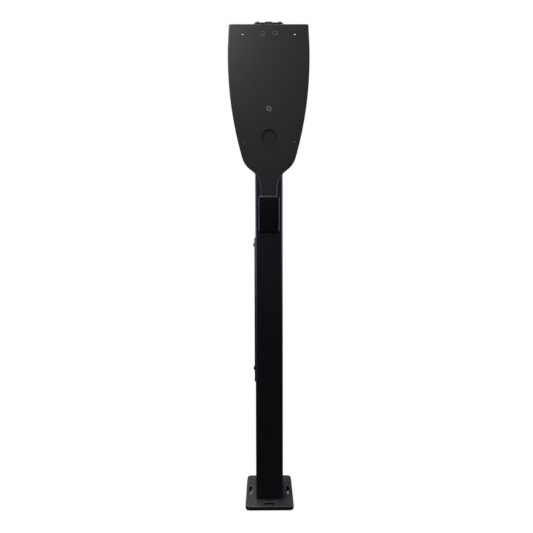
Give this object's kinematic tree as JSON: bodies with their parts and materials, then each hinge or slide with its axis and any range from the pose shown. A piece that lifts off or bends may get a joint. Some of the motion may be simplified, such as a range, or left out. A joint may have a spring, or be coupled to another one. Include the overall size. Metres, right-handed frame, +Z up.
{
  "type": "visitor counter turnstile",
  "caption": "Square floor post with a shield-shaped head plate, side beam sensor, rear display and sprung keys; it counts visitors at an entrance.",
  "frame": {"origin": "centre of the base plate's underside, at floor level, which is the bottom centre of the bounding box", "axes": "+Z up along the post; the head plate's front face looks along -Y; +X is to the right for someone who faces the head plate, and the sensor cover is on the -X wall"},
  "size_m": [0.1744, 0.105, 1.0545],
  "materials": {
    "black_powder_coat": "fine-textured satin black powder coat on steel",
    "black_plug": "satin black moulded plastic",
    "black_housing": "satin black moulded plastic",
    "smoked_plastic": "dark infrared-pass plastic, glossy",
    "blackened_steel": "black oxide on steel screws",
    "dark_plastic": "fine-grained dark moulded plastic",
    "zinc_steel": "zinc-plated steel",
    "circuit_board": "green solder mask",
    "key_rubber": "matte black rubber",
    "lens": "clear tinted lens",
    "screen": "grey-green liquid crystal panel",
    "lead_sleeve": "black soft lead sleeve",
    "cell_sleeve": "plain blue printed sleeve, no lettering"
  },
  "bodies": {
    "root": {"backing_bar": "zinc_steel", "base_plate": "black_powder_coat", "battery_holder": "dark_plastic", "battery_lead": "lead_sleeve", "beam_lens_back": "lens", "beam_lens_out": "lens", "bezel_screw_1": "blackened_steel", "bezel_screw_2": "blackened_steel", "bezel_screw_3": "blackened_steel", "bezel_screw_4": "blackened_steel", "cable_hole_plug": "black_plug", "cap_screw_1": "blackened_steel", "cap_screw_2": "blackened_steel", "cell_1": "cell_sleeve", "cell_2": "cell_sleeve", "cell_3": "cell_sleeve", "cell_4": "cell_sleeve", "cover_set_screw": "blackened_steel", "display_bezel": "dark_plastic", "display_panel": "screen", "display_window": "smoked_plastic", "foot_block": "zinc_steel", "foot_screw_1": "zinc_steel", "foot_screw_2": "zinc_steel", "foot_screw_3": "zinc_steel", "foot_screw_4": "zinc_steel", "head_plate": "black_powder_coat", "head_screw_1": "blackened_steel", "head_screw_2": "blackened_steel", "head_screw_3": "blackened_steel", "key_board": "circuit_board", "key_board_screw_1": "zinc_steel", "key_board_screw_2": "zinc_steel", "key_lead": "lead_sleeve", "key_spring_centre": "zinc_steel", "key_spring_left": "zinc_steel", "key_spring_right": "zinc_steel", "main_board": "circuit_board", "neck_cover": "black_housing", "neck_screw": "blackened_steel", "plate_grub_screw_1": "blackened_steel", "plate_grub_screw_2": "blackened_steel", "post": "black_powder_coat", "sensor_board": "circuit_board", "sensor_carrier": "dark_plastic", "sensor_lead": "lead_sleeve", "side_cover": "smoked_plastic", "side_nut_1": "zinc_steel", "side_nut_2": "zinc_steel", "side_screw_1": "blackened_steel", "side_screw_2": "blackened_steel", "top_cap": "black_powder_coat"},
    "left_key": {"key_left": "key_rubber", "key_clip_left": "zinc_steel"},
    "centre_key": {"key_centre": "key_rubber", "key_clip_centre": "zinc_steel"},
    "right_key": {"key_right": "key_rubber", "key_clip_right": "zinc_steel"}
  },
  "joints": [
    {"name": "left_key_press", "type": "slide", "parent": "root", "child": "left_key", "axis": [0, 0, -1], "range_m": [0, 0.0015], "stiffness_N_per_m": 300, "springref_m": -0.003, "deforming": ["key_spring_left"]},
    {"name": "centre_key_press", "type": "slide", "parent": "root", "child": "centre_key", "axis": [0, 0, -1], "range_m": [0, 0.0015], "stiffness_N_per_m": 300, "springref_m": -0.003, "deforming": ["key_spring_centre"]},
    {"name": "right_key_press", "type": "slide", "parent": "root", "child": "right_key", "axis": [0, 0, -1], "range_m": [0, 0.0015], "stiffness_N_per_m": 300, "springref_m": -0.003, "deforming": ["key_spring_right"]}
  ]
}
